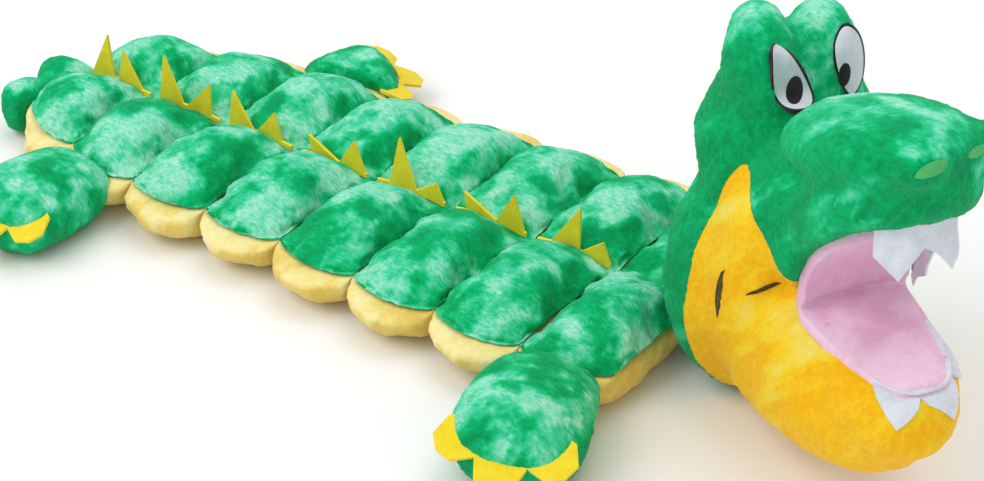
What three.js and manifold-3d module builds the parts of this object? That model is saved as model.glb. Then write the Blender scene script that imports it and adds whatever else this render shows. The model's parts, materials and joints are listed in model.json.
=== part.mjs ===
// Plush alligator dog toy: a long quilted body of stuffed pockets with a squeaker in each,
// a raised head with an open mouth, a short tail and four stubby legs.
// Millimetres. +X runs from tail to head, +Y to the toy's left, +Z up, floor at zero.
import * as THREE from 'three';
import { mergeVertices } from 'three/addons/utils/BufferGeometryUtils.js';
import Module from 'manifold-3d';

const wasm = await Module();
wasm.setup();
const degrees = THREE.MathUtils.degToRad;

// Quilted body
const rowPitch = 60;
const rowCount = 8;
const seamHalfWidth = 84;
const pocketBulge = 11;
const bellyBulge = 12;
const seamHeight = 29;
const pocketCrown = 19;
const spineRise = 3;
const quiltSkew = 10;
const quiltGap = 0.3;
const foldGap = 0.4;
const floorCut = 0.5;
const seatGap = 0.3;

// Squeaker disc that lies loose in its pocket
const squeakerRadius = 21;
const squeakerThickness = 15;
const squeakerRim = 6;
const squeakerClearance = 0.4;

// Felt spikes along the spine
const feltThickness = 2;
const feltBand = 3;
const spikeHeight = 34;
const spikeBase = 20;

// Tail, one short pad of two lobes
const tailLength = 37;
const tailHalfWidth = 34;
const tailCrown = 10;
const tailOffset = -24;

// Legs and the felt claws on their paws
const legLength = 93;
const legRootInset = 5;
const legRelief = 6;
const pawWidth = 74;
const pawHeight = 56;
const clawLength = 17;
const clawSink = 10;
const clawBand = 3;
const clawDroop = degrees(22);

// Neck, a round stuffed knuckle between the body and the head
const neckRadius = 42;
const neckReach = 28;
const neckSides = 24;

// Head: all of it follows the skull's depth, and the mouth's corner is the jaw's hinge
const headDepth = 100;
const headTurn = degrees(-34);
const palateRise = degrees(52);
const liningDrop = degrees(6);
const jawFold = degrees(68);
const napeSlope = degrees(15);
const ofHead = (share) => share * headDepth;
const mouthForwardShare = 1.03;
const mouthHeightShare = 1.11;
const crownFloorShare = 1.28;
const crownStepShare = 0.22;
const napeForwardShare = 0.02;
const napeHeightShare = 0.52;
const jawLengthShare = 0.8;
const jawHalfWidthShare = 0.26;
const palateLengthShare = 1;
const palateHalfWidthShare = 0.32;
const cornerHalfWidthShare = 0.35;
const lipArcShare = 0.42;
const eyeHeightShare = 0.4;
const eyeForwardShare = 0.34;
const eyeSpreadShare = 0.18;
const eyeLevelShare = 2.26;
const eyeReachShare = 0.3;
const mouthForward = ofHead(mouthForwardShare);
const mouthHeight = ofHead(mouthHeightShare);

// Mouth linings, felt teeth and felt eyes
const liningThickness = 3;
const palateLift = 5;
const cornerRelief = 9;
const toothLength = 21;
const toothThickness = 1.6;
const lipClearance = 0.8;
const eyeThickness = 1.6;

// Colours of the plush and felt
const colours = {
  greenPlush: 0x2fbf86, deepGreenPlush: 0x12a866, paleYellowPlush: 0xe9dc86, yellowPlush: 0xf3d043,
  yellowFelt: 0xe2c722, pinkFabric: 0xe0b7d2, whiteFelt: 0xdadfe8, squeakerPlastic: 0xf2f2ee,
};

const root = new THREE.Group();
const bodyGroup = new THREE.Group();
root.add(bodyGroup);
const sideNames = { 1: 'left', '-1': 'right' };
const farOut = rowPitch * rowCount;

function addPiece(parent, name, geometry, colour, roughness = 0.95) {
  geometry.computeVertexNormals();
  const material = new THREE.MeshStandardMaterial({ color: colour, roughness, metalness: 0 });
  const mesh = new THREE.Mesh(geometry, material);
  mesh.name = name;
  parent.add(mesh);
  return mesh;
}

function pivotGroup(parent, name, x, y, z) {
  const group = new THREE.Group();
  group.name = name;
  group.position.set(x, y, z);
  parent.add(group);
  return group;
}

// Turns a closed surface so that its faces point out.
function facingOut(geometry) {
  const point = geometry.getAttribute('position');
  const index = geometry.getIndex().array;
  const [a, b, c] = [new THREE.Vector3(), new THREE.Vector3(), new THREE.Vector3()];
  let volume = 0;
  for (let face = 0; face < index.length; face += 3) {
    a.fromBufferAttribute(point, index[face]);
    b.fromBufferAttribute(point, index[face + 1]);
    c.fromBufferAttribute(point, index[face + 2]);
    volume += a.dot(b.cross(c));
  }
  if (volume < 0) {
    for (let face = 0; face < index.length; face += 3) {
      [index[face + 1], index[face + 2]] = [index[face + 2], index[face + 1]];
    }
  }
  return geometry;
}

function indexedSurface(positions, index) {
  const geometry = new THREE.BufferGeometry();
  geometry.setAttribute('position', new THREE.Float32BufferAttribute(positions, 3));
  geometry.setIndex(index);
  return facingOut(geometry);
}

// Solids for cutting and joining
function solidOf(geometry) {
  const bare = geometry.clone();
  bare.deleteAttribute('normal');
  bare.deleteAttribute('uv');
  const merged = mergeVertices(bare);
  return new wasm.Manifold(new wasm.Mesh({
    numProp: 3,
    vertProperties: new Float32Array(merged.getAttribute('position').array),
    triVerts: new Uint32Array(merged.getIndex().array),
  }));
}

// The largest body of a solid, without the crumbs that a cut leaves.
function geometryOf(solid) {
  const bodies = solid.decompose();
  const main = bodies.reduce((best, next) => (next.volume() > best.volume() ? next : best));
  const mesh = main.getMesh();
  const geometry = new THREE.BufferGeometry();
  geometry.setAttribute('position', new THREE.BufferAttribute(mesh.vertProperties, 3));
  geometry.setIndex(new THREE.BufferAttribute(mesh.triVerts, 1));
  return geometry;
}

const joined = (solids) => solids.reduce((whole, next) => whole.add(next));
const without = (solid, cutters) => cutters.reduce((rest, cutter) => rest.subtract(cutter), solid);

// A prism across the toy whose side view is the outline, given as [x, z] pairs.
function sidePrism(outline) {
  const shape = new THREE.Shape(outline.map(([x, z]) => new THREE.Vector2(x, z)));
  const geometry = new THREE.ExtrudeGeometry(shape, { depth: 2 * farOut, bevelEnabled: false });
  geometry.rotateX(Math.PI / 2);
  geometry.translate(0, farOut, 0);
  return solidOf(geometry);
}

// Grid shares that crowd towards both seams, where a pocket curves most
function seamwardShares(count) {
  return Array.from({ length: count + 1 }, (_, step) => (1 - Math.cos((Math.PI * step) / count)) / 2);
}

// A dome over a flat base: its border lies in the base plane, which a fan closes.
function domeGeometry(uShares, vShares, pointAt) {
  const positions = [];
  const index = [];
  const across = vShares.length;
  const centre = new THREE.Vector3();
  for (const u of uShares) {
    for (const v of vShares) {
      const point = pointAt(u, v);
      positions.push(point.x, point.y, point.z);
      centre.add(point);
    }
  }
  centre.divideScalar(uShares.length * across);
  const last = uShares.length - 1;
  for (let row = 0; row < last; row += 1) {
    for (let column = 0; column + 1 < across; column += 1) {
      const corner = row * across + column;
      index.push(corner, corner + across, corner + 1, corner + 1, corner + across, corner + across + 1);
    }
  }
  const border = [];
  for (let column = 0; column < across; column += 1) border.push(column);
  for (let row = 1; row <= last; row += 1) border.push(row * across + across - 1);
  for (let column = across - 2; column >= 0; column -= 1) border.push(last * across + column);
  for (let row = last - 1; row > 0; row -= 1) border.push(row * across);
  const hub = positions.length / 3;
  positions.push(centre.x, centre.y, pointAt(0, 0).z);
  border.forEach((corner, step) => {
    index.push(hub, corner, border[(step + 1) % border.length]);
  });
  return indexedSurface(positions, index);
}

// A skin drawn over rings of equal point count and closed at both ends
function ringSkin(rings) {
  const positions = [];
  const index = [];
  const count = rings[0].length;
  for (const ring of rings) for (const point of ring) positions.push(point.x, point.y, point.z);
  for (let ring = 0; ring + 1 < rings.length; ring += 1) {
    for (let side = 0; side < count; side += 1) {
      const here = ring * count + side;
      const next = ring * count + ((side + 1) % count);
      index.push(here, next, here + count, next, next + count, here + count);
    }
  }
  const closeEnd = (ring, first, reverse) => {
    const middle = ring.reduce((sum, point) => sum.add(point), new THREE.Vector3()).divideScalar(count);
    const hub = positions.length / 3;
    positions.push(middle.x, middle.y, middle.z);
    for (let side = 0; side < count; side += 1) {
      const next = (side + 1) % count;
      index.push(hub, first + (reverse ? next : side), first + (reverse ? side : next));
    }
  };
  closeEnd(rings[0], 0, true);
  closeEnd(rings[rings.length - 1], (rings.length - 1) * count, false);
  return indexedSurface(positions, index);
}

const floorCutter = sidePrism([[-farOut, -farOut], [2 * farOut, -farOut], [2 * farOut, 0], [-farOut, 0]]);

// Quilted rows: shares of the half width at each seam, from the rear of the body to its front
const seamWidthShares = [0.52, 0.82, 0.95, 0.95, 0.97, 1.04, 1.06, 1.08, 1];
const backFullnessShare = 0.55;
const bellyFullnessShare = 0.28;
const spineFullnessShare = 0.9;
const gridSteps = 6;
const alongShares = seamwardShares(gridSteps);
const acrossShares = [...alongShares.slice(1).reverse().map((share) => -share), ...alongShares];

const swell = (share, fullness) => Math.sin(Math.PI * Math.min(Math.max(share, 0), 1)) ** fullness;

// Height of a pocket pair across the body: the crown over each pocket and the groove between them
function swellAcross(v, crown, spine, fullness) {
  const side = Math.abs(v);
  if (side >= 1) return 0;
  if (side < 0.5) return spine + (crown - spine) * swell(side, spineFullnessShare);
  return crown * swell(side, fullness);
}

function rowHalfWidth(row, u) {
  const share = THREE.MathUtils.lerp(seamWidthShares[row], seamWidthShares[row + 1], u);
  return seamHalfWidth * share + pocketBulge * swell(u, backFullnessShare);
}

// Point of row's back (side 1) or belly (side -1); u runs along the row and v from side to side.
function quiltPoint(row, u, v, side, grow = 0) {
  const onSeam = u <= 0 || u >= 1;
  const fullness = side > 0 ? backFullnessShare : bellyFullnessShare;
  const crown = side > 0 ? pocketCrown : seamHeight + floorCut;
  const spine = side > 0 ? spineRise : seamHeight / 2;
  const rise = onSeam ? 0 : swell(u, fullness) * swellAcross(v, crown, spine, fullness);
  const beyond = onSeam ? Math.sign(u - 0.5) * grow : 0;
  const x = row * rowPitch + foldGap / 2 + u * (rowPitch - foldGap) + v * quiltSkew + beyond;
  const overhang = side < 0 && !onSeam && Math.abs(v) < 1 ? bellyBulge * swell(u, backFullnessShare) : 0;
  const halfWidth = onSeam ? seamHalfWidth * seamWidthShares[row + u] : rowHalfWidth(row, u);
  const height = seamHeight + side * (quiltGap / 2 + rise + (rise > 0 ? grow : 0));
  return new THREE.Vector3(x, v * (halfWidth + overhang + grow), height);
}

function squeakerGeometry(clearance) {
  const radius = squeakerRadius + clearance;
  const half = squeakerThickness / 2 + clearance;
  const flat = radius - squeakerRim;
  const profile = [[0, -half], [flat, -half], [radius, -half / 3], [radius, half / 3], [flat, half], [0, half]];
  const geometry = new THREE.LatheGeometry(profile.map(([r, z]) => new THREE.Vector2(r, z)), 10);
  geometry.rotateX(Math.PI / 2);
  return geometry;
}

function pocketCentre(row, side) {
  const middle = rowHalfWidth(row, 0.5) / 2;
  return new THREE.Vector3((row + 0.5) * rowPitch + (side * quiltSkew) / 2, side * middle, seamHeight);
}

// The neck's ball; a seat cut with a grown ball clears its corners at every turn.
const neckX = rowPitch * rowCount + neckReach;
function neckBall(clearance) {
  const radius = clearance > 0 ? (neckRadius + clearance) / Math.cos(Math.PI / neckSides) ** 2 : neckRadius;
  const geometry = new THREE.SphereGeometry(radius, neckSides, neckSides / 2);
  geometry.rotateX(Math.PI / 2);
  geometry.translate(0, 0, neckRadius - floorCut);
  return solidOf(geometry);
}

const rowHalf = (row, side, grow = 0) => solidOf(
  domeGeometry(alongShares, acrossShares, (u, v) => quiltPoint(row, u, v, side, grow)));

function buildRow(row) {
  for (const [side, part, colour] of [[1, 'back', colours.greenPlush], [-1, 'belly', colours.paleYellowPlush]]) {
    let solid = rowHalf(row, side);
    for (const pocketSide of [1, -1]) {
      const seat = squeakerGeometry(squeakerClearance);
      seat.translate(...pocketCentre(row, pocketSide).toArray());
      solid = solid.subtract(solidOf(seat));
    }
    if (side < 0) solid = solid.subtract(floorCutter);
    if (row === rowCount - 1) solid = solid.subtract(neckBall(seatGap).translate([neckX, 0, 0]));
    addPiece(bodyGroup, `row_${row + 1}_${part}`, geometryOf(solid), colour);
  }
  for (const side of [1, -1]) {
    const disc = squeakerGeometry(0);
    disc.translate(...pocketCentre(row, side).toArray());
    addPiece(bodyGroup, `squeaker_${row + 1}_${sideNames[side]}`, disc, colours.squeakerPlastic, 0.4);
  }
}

// Felt spikes from the rear of the body to its front, each [place along its row, height, lean]
const spikeShares = [
  [[0.25, 1.05, 0.2], [0.65, 0.8, -0.15]],
  [[0.25, 1.05, -0.1], [0.65, 0.76, 0.4]],
  [[0.24, 0.82, -0.2], [0.62, 0.65, 0.25]],
  [[0.38, 0.45, -0.8], [0.74, 0.68, 0.1]],
  [[0.4, 1.1, -0.05], [0.75, 0.4, 0.3]],
  [[0.38, 0.45, -0.8], [0.74, 0.76, 0.1]],
  [[0.4, 1, 0.3], [0.76, 0.44, 0.3]],
];

// Height at which the strip's lower edge clears the groove and both pockets' slopes
function feltSeatHeight(row, u) {
  const groove = quiltPoint(row, u, 0, 1);
  const slope = quiltPoint(row, u, alongShares[1], 1);
  return THREE.MathUtils.lerp(groove.z, slope.z, feltThickness / 2 / slope.y) + seatGap;
}

function buildSpikes(row) {
  const stations = alongShares.slice(1, -1);
  const seat = stations.map((u) => new THREE.Vector2(quiltPoint(row, u, 0, 1).x, feltSeatHeight(row, u)));
  const seatAt = (x) => {
    const next = Math.max(1, seat.findIndex((point) => point.x >= x));
    const share = (x - seat[next - 1].x) / (seat[next].x - seat[next - 1].x);
    return THREE.MathUtils.lerp(seat[next - 1].y, seat[next].y, share);
  };
  const top = [];
  for (const [place, height, lean] of spikeShares[row]) {
    const x = (row + place) * rowPitch;
    const left = x - spikeBase / 2;
    const right = x + spikeBase / 2;
    top.push(new THREE.Vector2(left, seatAt(left) + feltBand));
    top.push(new THREE.Vector2(x + lean * height * spikeHeight, seatAt(x) + height * spikeHeight));
    top.push(new THREE.Vector2(right, seatAt(right) + feltBand));
  }
  const first = seat[0].clone().setY(seat[0].y + feltBand);
  const last = seat[seat.length - 1].clone().setY(seat[seat.length - 1].y + feltBand);
  const shape = new THREE.Shape([...seat, last, ...top.reverse(), first]);
  const geometry = new THREE.ExtrudeGeometry(shape, { depth: feltThickness, bevelEnabled: false });
  geometry.rotateX(Math.PI / 2);
  geometry.translate(0, feltThickness / 2, 0);
  addPiece(bodyGroup, `spine_spikes_${row + 1}`, geometry, colours.yellowFelt);
}

for (let row = 0; row < rowCount; row += 1) buildRow(row);
for (let row = 0; row < spikeShares.length; row += 1) buildSpikes(row);

// Tail pad: two small stuffed lobes behind the rear seam
const tailWaistShare = 0.7;
const tailSkew = (quiltSkew * tailHalfWidth) / (seamHalfWidth * seamWidthShares[0]);
const tailLead = (tailSkew * tailOffset) / tailHalfWidth;
function tailPoint(u, v, side) {
  const length = tailLength * (tailWaistShare + (1 - tailWaistShare) * swell(Math.abs(v), spineFullnessShare));
  const fullness = side > 0 ? backFullnessShare : bellyFullnessShare;
  const crown = side > 0 ? tailCrown : seamHeight + floorCut;
  const spine = side > 0 ? tailCrown / 3 : seamHeight / 2;
  const rise = u <= 0 || u >= 1 ? 0 : swell(u, fullness) * swellAcross(v, crown, spine, fullness);
  const x = -foldGap / 2 - length * (1 - u) + (v * tailSkew + tailLead) * u;
  return new THREE.Vector3(x, tailOffset + v * tailHalfWidth, seamHeight + side * rise);
}
const tailHalves = [1, -1].map((side) => solidOf(
  domeGeometry(alongShares, acrossShares, (u, v) => tailPoint(u, v, side))));
addPiece(bodyGroup, 'tail', geometryOf(joined(tailHalves).subtract(floorCutter)), colours.greenPlush);

// Leg sections from the pinched root at the side seam to the paw, each a list of shares of:
// the leg's length, the paw's width, the paw's height, and the height of the section's middle
const legSectionShares = [
  [0, 0.6, 0.05, 0.48], [0.06, 0.72, 0.36, 0.48], [0.18, 0.84, 0.74, 0.48], [0.36, 0.94, 0.94, 0.48],
  [0.6, 1, 1, 0.49], [0.8, 0.96, 0.96, 0.48], [0.93, 0.74, 0.72, 0.42], [1, 0.34, 0.34, 0.38],
];
const legSides = 14;

function legSolid(reach, pawRadius, height, grow) {
  return solidOf(ringSkin(legSectionShares.map(([along, width, tall, middle], section) => {
    const ring = [];
    for (let side = 0; side < legSides; side += 1) {
      const turn = (2 * Math.PI * side) / legSides;
      ring.push(new THREE.Vector3(
        along * reach + (section === legSectionShares.length - 1 ? grow : 0),
        Math.cos(turn) * (width * pawRadius + grow),
        middle * height + Math.sin(turn) * (tall * height / 2 + grow)));
    }
    return ring;
  })));
}

// Claws: one felt strip with three rounded tabs, sewn round the front of the paw
const sideClawShare = 0.75;
const clawFullnessShare = 0.6;
const clawSpread = degrees(66);
const clawSteps = 12;
function clawSolid(reach, pawRadius, height) {
  const edge = (step, distance) => {
    const turn = clawSpread * ((2 * step) / clawSteps - 1);
    const radius = pawRadius + distance;
    return new THREE.Vector2(reach - pawRadius + radius * Math.cos(turn), radius * Math.sin(turn));
  };
  const outer = [];
  const inner = [];
  for (let step = 0; step <= clawSteps; step += 1) {
    const toe = (3 * step) / clawSteps;
    const length = clawLength * (toe > 1 && toe < 2 ? 1 : sideClawShare);
    outer.push(edge(step, clawBand + length * swell(toe % 1, clawFullnessShare)));
    inner.push(edge(step, -clawSink));
  }
  const geometry = new THREE.ExtrudeGeometry(new THREE.Shape([...outer, ...inner.reverse()]), {
    depth: feltThickness, bevelEnabled: false,
  });
  geometry.translate(-reach, 0, -feltThickness / 2);
  geometry.rotateY(clawDroop);
  geometry.translate(reach, 0, height / 2);
  return solidOf(geometry);
}

// Each leg's place along the rows, side, swing to the front, and shares of the full length, width and height
const legPlaces = {
  hind_leg_right: { along: 1.4, side: -1, swing: degrees(-5), reachShare: 0.9, widthShare: 0.92, heightShare: 0.94 },
  hind_leg_left: { along: 1.9, side: 1, swing: degrees(42), reachShare: 0.7, widthShare: 0.88, heightShare: 0.8 },
  front_leg_right: { along: 7.42, side: -1, swing: degrees(14), reachShare: 1, widthShare: 1, heightShare: 1 },
  front_leg_left: { along: 7.42, side: 1, swing: degrees(14), reachShare: 1, widthShare: 1, heightShare: 1 },
};

// The rows near a leg, grown so that the leg's root clears them when it lifts or its row bends
function rowCutter(row, gap) {
  const rim = alongShares.flatMap((u) => [1, -1].map((v) => quiltPoint(row, u, v, 1, gap)));
  const post = wasm.Manifold.hull(rim.flatMap(({ x, y }) => [[x, y, -farOut], [x, y, farOut]]));
  return joined([post, rowHalf(row, -1, legRelief)]);
}
function rowCutters(row) {
  const near = [row - 1, row, row + 1].filter((next) => next >= 0 && next < rowCount);
  return near.map((next) => rowCutter(next, next === row ? seatGap : legRelief));
}

function buildLeg(name, { along, side, swing, reachShare, widthShare, heightShare }) {
  const row = Math.floor(along);
  const hipY = side * (rowHalfWidth(row, along - row) - legRootInset);
  const hip = new THREE.Vector3(along * rowPitch + side * quiltSkew, hipY, 0);
  const reach = legLength * reachShare;
  const pawRadius = pawWidth * widthShare / 2;
  const height = pawHeight * heightShare;
  const pose = new THREE.Matrix4().makeRotationZ(side * (Math.PI / 2 - swing)).setPosition(hip);
  const placed = (solid) => solidOf(geometryOf(solid).applyMatrix4(pose));
  const grownLimb = placed(legSolid(reach, pawRadius, height, seatGap));
  const limb = without(placed(legSolid(reach, pawRadius, height, 0)), [...rowCutters(row), floorCutter]);
  const claws = without(placed(clawSolid(reach, pawRadius, height)), [grownLimb, ...rowCutters(row), floorCutter]);
  addPiece(bodyGroup, name, geometryOf(limb), colours.greenPlush);
  addPiece(bodyGroup, name.replace('leg', 'claws'), geometryOf(claws), colours.yellowFelt);
}
for (const [name, place] of Object.entries(legPlaces)) buildLeg(name, place);

// Neck and head, in the head's own frame: x forward from the neck's middle
const head = pivotGroup(bodyGroup, 'head_turn', neckX, 0, 0);
head.rotation.z = headTurn;
addPiece(head, 'neck', geometryOf(neckBall(0).subtract(floorCutter)), colours.deepGreenPlush);

// A stuffed form: an ellipsoid tilted nose-up about its centre, in shares of the skull's depth.
function stuffedForm({ at, radii, tilt = 0, segments = 16, rings = 10 }, grow) {
  const geometry = new THREE.SphereGeometry(1, segments, rings);
  geometry.rotateX(Math.PI / 2);
  geometry.scale(...radii.map((share) => share * headDepth + grow));
  geometry.rotateY(-tilt);
  geometry.translate(...at.map((share) => share * headDepth));
  return solidOf(geometry);
}
const stuffed = (forms, grow = 0) => joined(forms.map((form) => stuffedForm(form, grow)));
const headOutline = (pairShares) => pairShares.map((pair) => pair.map((share) => share * headDepth));

const alongPalate = (distance, off = 0) => [
  mouthForward + distance * Math.cos(palateRise) - off * Math.sin(palateRise),
  mouthHeight + distance * Math.sin(palateRise) + off * Math.cos(palateRise),
];
const alongLining = (distance) => [
  mouthForward + distance * Math.cos(liningDrop), mouthHeight - distance * Math.sin(liningDrop),
];

// Crown: skull, two brows and a long snout
const crownShares = [
  { at: [0.17, 0, 1.66], radii: [0.49, 0.52, 0.66], rings: 8 },
  { at: [0.28, 0.23, 2.2], radii: [0.27, 0.21, 0.38], tilt: 0.1, segments: 12, rings: 8 },
  { at: [0.28, -0.23, 2.2], radii: [0.27, 0.21, 0.38], tilt: 0.1, segments: 12, rings: 8 },
  { at: [1.24, 0, 2.12], radii: [0.66, 0.43, 0.37], tilt: 0.5, segments: 14, rings: 8 },
  { at: [1.26, 0, 1.98], radii: [0.8, 0.45, 0.34], tilt: 0.85, segments: 14, rings: 8 },
  { at: [0.72, 0, 1.66], radii: [0.46, 0.42, 0.36], tilt: 0.3, segments: 12, rings: 8 },
  { at: [0.95, 0, 1.47], radii: [0.3, 0.41, 0.36], segments: 12, rings: 8 },
];
function crownSolid(grow) {
  const off = palateLift - grow;
  const floor = ofHead(crownFloorShare) - grow;
  const under = [
    [-farOut, -farOut], [farOut, -farOut], alongPalate(farOut, off), alongPalate(0, off),
    [mouthForward - ofHead(crownStepShare), floor], [-farOut, floor],
  ];
  return stuffed(crownShares, grow).subtract(sidePrism(under));
}
const crownCutter = crownSolid(seatGap);

// Cheek gussets, a narrow leaf of the throat's plush on each side of the head
const cheekShares = [1, -1].map((side) => ({
  at: [0.5, side * 0.35, 1.08], radii: [0.28, 0.18, 0.66], tilt: -0.25, segments: 14,
}));
const crown = crownSolid(0).subtract(stuffed(cheekShares, seatGap));
addPiece(head, 'crown', geometryOf(crown), colours.deepGreenPlush);

// Lower head: one stuffed form split into a green collar behind and a yellow throat in front
const napeShares = { at: [0.14, 0, 0.88], radii: [0.48, 0.6, 0.9], tilt: -0.12, segments: 18, rings: 10 };
const chinShares = { at: [0.82, 0, 0.64], radii: [0.98, 0.47, 0.55], tilt: 0.17, segments: 18, rings: 10 };
const lipShares = { at: [1.4, 0, 0.82], radii: [0.5, 0.36, 0.36], tilt: -0.02, segments: 14, rings: 8 };
const collarFrontShares = [
  [0.42, -0.2], [0.34, 0.35], [0.23, 0.58], [0.22, 0.8], [0.29, 1.08], [0.38, 1.36], [0.6, 1.9],
];
const collarSplit = (gap) => sidePrism([
  [-farOut, -farOut], [collarFrontShares[0][0] * headDepth + gap, -farOut],
  ...headOutline(collarFrontShares).map(([x, z]) => [x + gap, z]), [-farOut, farOut],
]);
const napeForward = ofHead(napeForwardShare);
const napeHeight = ofHead(napeHeightShare);
const chestClearance = sidePrism([
  [-farOut, -farOut], [napeForward, -farOut], [napeForward, napeHeight],
  [-farOut, napeHeight + farOut * Math.tan(napeSlope)],
]);
function aheadOfFold(gap) {
  const start = [mouthForward + gap, mouthHeight];
  const end = [start[0] + farOut * Math.cos(jawFold), start[1] - farOut * Math.sin(jawFold)];
  return sidePrism([start, end, [2 * farOut, -farOut], [2 * farOut, farOut], [start[0], farOut]]);
}

const lower = stuffed([napeShares, chinShares]);
const headClearances = [crownCutter, neckBall(seatGap), floorCutter, chestClearance];
const collar = without(lower.intersect(collarSplit(0)), [stuffed(cheekShares, seatGap), ...headClearances]);
addPiece(head, 'collar', geometryOf(collar), colours.deepGreenPlush);
const throat = without(lower.add(stuffed(cheekShares)), [collarSplit(seatGap), aheadOfFold(0), ...headClearances]);
addPiece(head, 'throat', geometryOf(throat), colours.yellowPlush);

// Jaw: a plump chin in front of the fold, flat on top under its lining
const jawGroup = pivotGroup(head, 'jaw_open', mouthForward, 0, mouthHeight);
function addToJaw(name, solid, colour) {
  const geometry = geometryOf(solid);
  geometry.translate(-mouthForward, 0, -mouthHeight);
  addPiece(jawGroup, name, geometry, colour);
}
const aboveLining = sidePrism([
  alongLining(-farOut), alongLining(farOut), [2 * farOut, 2 * farOut], [-farOut, 2 * farOut],
]);
const jawForms = [chinShares, lipShares];
const jaw = without(stuffed(jawForms).intersect(aheadOfFold(foldGap)), [aboveLining, floorCutter]);
addToJaw('jaw', jaw, colours.yellowPlush);

// Mouth linings: flat fabric panels, straight across the fold and round at the front
const lipArc = ofHead(lipArcShare);
function mouthPanel(start, length, halfWidth, thickness) {
  const shape = new THREE.Shape();
  const front = length - lipArc;
  shape.moveTo(start, -ofHead(cornerHalfWidthShare));
  shape.lineTo(front, -halfWidth);
  shape.absellipse(front, 0, lipArc, halfWidth, -Math.PI / 2, Math.PI / 2, false);
  shape.lineTo(start, ofHead(cornerHalfWidthShare));
  return new THREE.ExtrudeGeometry(shape, { depth: thickness, bevelEnabled: false, curveSegments: 8 });
}
function ontoPlane(geometry, turn) {
  geometry.rotateY(turn);
  geometry.translate(mouthForward, 0, mouthHeight);
  return geometry;
}
const jawLength = ofHead(jawLengthShare);
const jawHalfWidth = ofHead(jawHalfWidthShare);
const lining = mouthPanel(liningThickness, jawLength, jawHalfWidth, liningThickness);
lining.translate(0, 0, seatGap);
addToJaw('jaw_lining', solidOf(ontoPlane(lining, liningDrop)), colours.pinkFabric);
const palateLength = ofHead(palateLengthShare);
const palateHalfWidth = ofHead(palateHalfWidthShare);
const palatePad = mouthPanel(cornerRelief, palateLength, palateHalfWidth, palateLift - seatGap);
const palate = without(solidOf(ontoPlane(palatePad, -palateRise)), [
  stuffed([napeShares, chinShares], seatGap), stuffed(cheekShares, seatGap), crownCutter,
]);
addPiece(head, 'palate', geometryOf(palate), colours.pinkFabric);

// A felt ribbon round an arc, its free edge cut into teeth that fall along a given direction
const toothNotchShare = 0.25;
function toothRibbon({ teeth, halfWidth, front, spread, lean, thickness }) {
  const rings = [];
  for (let step = 0; step <= 2 * teeth; step += 1) {
    const turn = spread * (step / teeth - 1);
    const out = new THREE.Vector3(Math.cos(turn) / lipArc, Math.sin(turn) / halfWidth, 0).normalize();
    const inner = new THREE.Vector3(front + lipArc * (Math.cos(turn) - 1), halfWidth * Math.sin(turn), 0);
    const fall = out.clone().multiplyScalar(lean).setZ(-1);
    const low = inner.clone().addScaledVector(fall, toothLength * (step % 2 ? 1 : toothNotchShare));
    const outwards = out.multiplyScalar(thickness);
    rings.push([inner, low, low.clone().add(outwards), inner.clone().add(outwards)]);
  }
  return ringSkin(rings);
}
const upperTeeth = toothRibbon({
  teeth: 4, halfWidth: palateHalfWidth + lipClearance, front: palateLength + lipClearance, spread: degrees(66),
  lean: 0, thickness: toothThickness,
});
upperTeeth.translate(0, 0, palateLift - seatGap);
addPiece(head, 'upper_teeth', ontoPlane(upperTeeth, -palateRise), colours.whiteFelt);

// The lower teeth hang over the lip and lie on the chin, cut from a thin layer over it.
const lowerTeethCurtain = toothRibbon({
  teeth: 4, halfWidth: jawHalfWidth, front: jawLength, spread: degrees(62), lean: 0.2, thickness: jawHalfWidth,
});
const chinLayer = stuffed(jawForms, seatGap + toothThickness).subtract(stuffed(jawForms, seatGap));
const lowerTeethSolid = solidOf(ontoPlane(lowerTeethCurtain, liningDrop)).intersect(chinLayer);
addToJaw('lower_teeth', lowerTeethSolid, colours.whiteFelt);

// Eyes: felt patches that follow the brow, cut from a thin layer over the crown
const eyeLayer = crownSolid(seatGap + eyeThickness).subtract(crownCutter);
const eyeShares = [
  [-0.26, 0.45], [-0.18, 0.5], [0.03, 0.3], [0.2, 0], [0.25, -0.22], [0.18, -0.42], [0, -0.48], [-0.18, -0.35],
  [-0.26, -0.1],
];
const eyeHeight = ofHead(eyeHeightShare);
for (const side of [1, -1]) {
  const outline = eyeShares.map(([y, z]) => new THREE.Vector2(y * eyeHeight, z * eyeHeight));
  const depth = ofHead(eyeReachShare);
  const geometry = new THREE.ExtrudeGeometry(new THREE.Shape(outline), { depth, bevelEnabled: false });
  geometry.rotateX(Math.PI / 2);
  geometry.rotateZ(Math.PI / 2);
  geometry.translate(ofHead(eyeForwardShare), side * ofHead(eyeSpreadShare), ofHead(eyeLevelShare));
  addPiece(head, `eye_${sideNames[side]}`, geometryOf(eyeLayer.intersect(solidOf(geometry))), colours.whiteFelt);
}

// Bring the origin to the middle of the footprint
root.updateMatrixWorld(true);
const box = new THREE.Box3().setFromObject(root, true);
bodyGroup.position.set(-(box.min.x + box.max.x) / 2, -(box.min.y + box.max.y) / 2, -box.min.z);

export default root;
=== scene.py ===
"""Plush alligator dog toy: padded cloth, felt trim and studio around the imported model.

Metres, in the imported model's frame: +X from tail to head, +Y to the toy's left, +Z up.
"""

import itertools
import json
import logging
import math
from collections.abc import Callable
from dataclasses import dataclass, field
from enum import Enum

import bpy
import numpy as np
from mathutils import Matrix, Vector
from mathutils.bvhtree import BVHTree

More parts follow.
